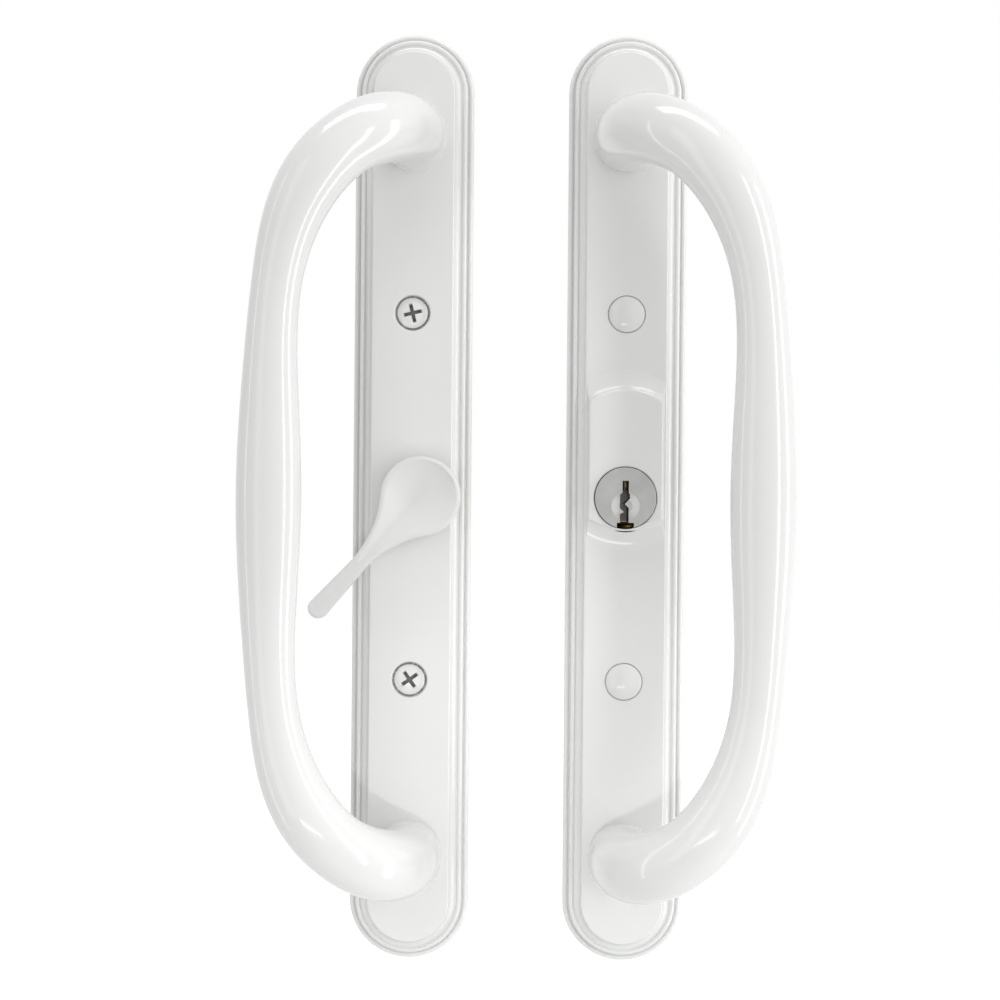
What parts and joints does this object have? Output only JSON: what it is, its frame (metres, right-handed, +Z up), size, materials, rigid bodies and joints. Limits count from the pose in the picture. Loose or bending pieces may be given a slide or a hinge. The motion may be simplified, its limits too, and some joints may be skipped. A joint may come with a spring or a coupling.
{
  "type": "sliding patio door handle",
  "caption": "Keyed sliding patio door handle in two halves: long moulded plates with bow pulls, a teardrop thumb-turn inside, and a key cylinder on a raised pad outside.",
  "frame": {"origin": "middle of the inside plate's back plane, centred between its two clamp screws", "axes": "+Z up along the plates, +Y from the fronts towards the door, +X from the inside half to the outside half"},
  "size_m": [0.1446, 0.0999, 0.2532],
  "materials": {
    "white_enamel": "gloss white enamel on a casting",
    "white_screw": "gloss white painted steel",
    "white_post": "gloss white painted brass",
    "zinc_steel": "bright zinc plate",
    "spring_steel": "dark spring steel",
    "satin_nickel": "satin nickel plate",
    "brass": "turned brass",
    "acetal": "natural acetal"
  },
  "bodies": {
    "fixed_halves": {"inside_plate": "white_enamel", "inside_pull": "white_enamel", "inside_pull_screws": "zinc_steel", "thumb_bushing": "acetal", "thumb_spring_washer": "spring_steel", "clamp_screws": "white_screw", "outside_plate": "white_enamel", "outside_pull": "white_enamel", "outside_pull_screws": "zinc_steel", "threaded_posts": "white_post", "cylinder_body": "brass", "driver_pins": "satin_nickel", "pin_springs": "spring_steel", "spring_cover": "brass", "cylinder_mount_screws": "zinc_steel"},
    "thumb_lever": {"thumb_turn": "white_enamel", "thumb_clip": "spring_steel", "thumb_tailpiece": "zinc_steel", "thumb_tailpiece_pin": "spring_steel"},
    "key_plug": {"cylinder_plug": "satin_nickel", "key_pins": "brass", "plug_clip": "spring_steel", "cylinder_tailpiece": "zinc_steel", "cylinder_tailpiece_pin": "spring_steel"}
  },
  "joints": [
    {"name": "thumb_turn_hinge", "type": "hinge", "parent": "fixed_halves", "child": "thumb_lever", "pos_m": [0.003, 0, 0], "axis": [0, 1, 0], "range_deg": [0, 96]},
    {"name": "key_plug_hinge", "type": "hinge", "parent": "fixed_halves", "child": "key_plug", "pos_m": [0.0584, 0, 0], "axis": [0, 1, 0], "range_deg": [-90, 90]}
  ]
}
